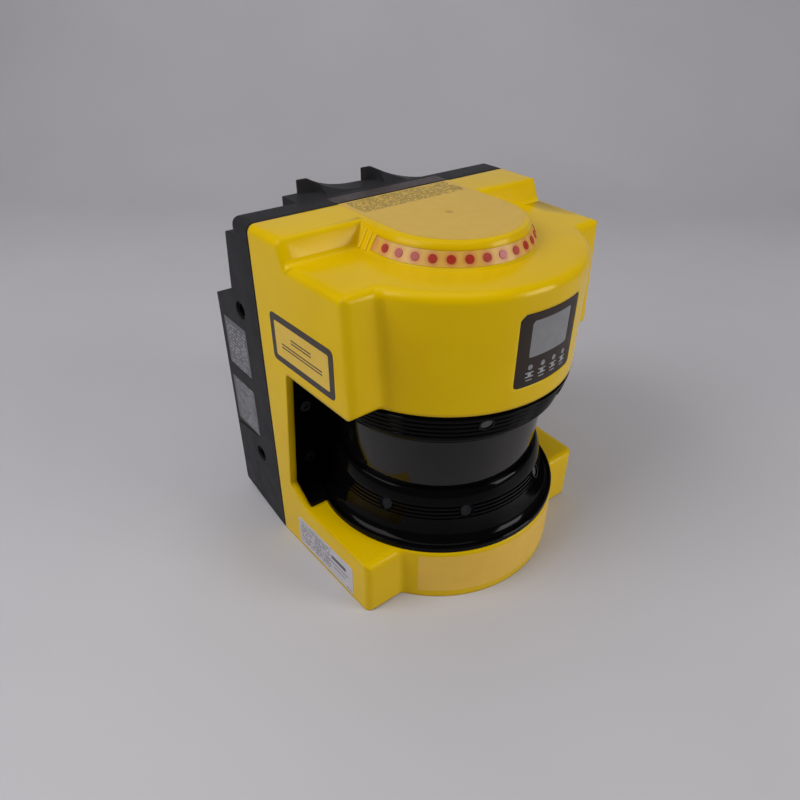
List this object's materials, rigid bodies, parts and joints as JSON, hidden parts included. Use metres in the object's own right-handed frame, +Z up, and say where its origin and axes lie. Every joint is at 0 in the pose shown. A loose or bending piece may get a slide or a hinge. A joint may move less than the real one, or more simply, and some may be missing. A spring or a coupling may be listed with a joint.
{
  "type": "safety laser scanner",
  "caption": "Box-shaped safety laser scanner with a drum-fronted yellow head and foot, a smoked scan window in the gap between them, a light band on its dome and a black rear cover.",
  "frame": {"origin": "on the scan axis, at the underside of the foot", "axes": "+X to the right seen from the front, -Y to the front that the window faces, +Z up along the scan axis"},
  "size_m": [0.166, 0.1659, 0.198],
  "materials": {
    "yellow_housing": "semi-gloss moulded",
    "black_rubber": "matte",
    "charcoal_cover": "matte moulded",
    "gloss_black": "polished moulded",
    "smoked_window": "polished, dark tint",
    "steel": "zinc plated",
    "lens_glass": "polished",
    "cream_band": "satin",
    "red_lens": "polished",
    "circuit_board": "solder mask",
    "display_black": "satin",
    "screen_grey": "satin",
    "status_clear": "frosted",
    "brass": "turned",
    "plated_metal": "satin",
    "terminal_green": "moulded",
    "black_aluminium": "anodised",
    "motor_iron": "dark",
    "mirror_coat": "first-surface mirror"
  },
  "bodies": {
    "scanner": {"front_housing": "yellow_housing", "housing_gasket": "black_rubber", "rear_cover": "charcoal_cover", "connection_module": "charcoal_cover", "upper_window_ring": "gloss_black", "scan_window": "smoked_window", "window_seals": "black_rubber", "lower_window_ring": "gloss_black", "chamber_wall": "gloss_black", "chamber_floor": "gloss_black", "wall_screws": "steel", "upper_monitor_lenses": "lens_glass", "lower_monitor_lenses": "lens_glass", "light_band": "cream_band", "sector_lights": "red_lens", "light_board": "circuit_board", "display_panel": "display_black", "display_screen": "screen_grey", "status_lights": "status_clear", "display_board": "circuit_board", "side_inserts": "brass", "cover_screws": "steel", "module_screws": "steel", "cable_connectors": "plated_metal", "connector_inserts": "display_black", "main_board": "circuit_board", "board_standoffs": "brass", "power_board": "circuit_board", "terminal_block": "terminal_green", "receiver_tube": "black_aluminium", "receiver_lens": "lens_glass", "laser_module": "brass", "detector_board": "circuit_board", "motor_can": "plated_metal", "motor_stator": "motor_iron", "shaft_bearings": "steel", "encoder_sensor": "display_black"},
    "rotor": {"rotor_shaft": "steel", "rotor_magnet": "motor_iron", "encoder_disc": "plated_metal", "mirror_carrier": "black_aluminium", "scan_mirror": "mirror_coat"}
  },
  "joints": [
    {"name": "mirror_spin", "type": "hinge", "parent": "scanner", "child": "rotor", "pos_m": [0, 0, 0.084], "axis": [0, 0, 1], "continuous": true}
  ]
}
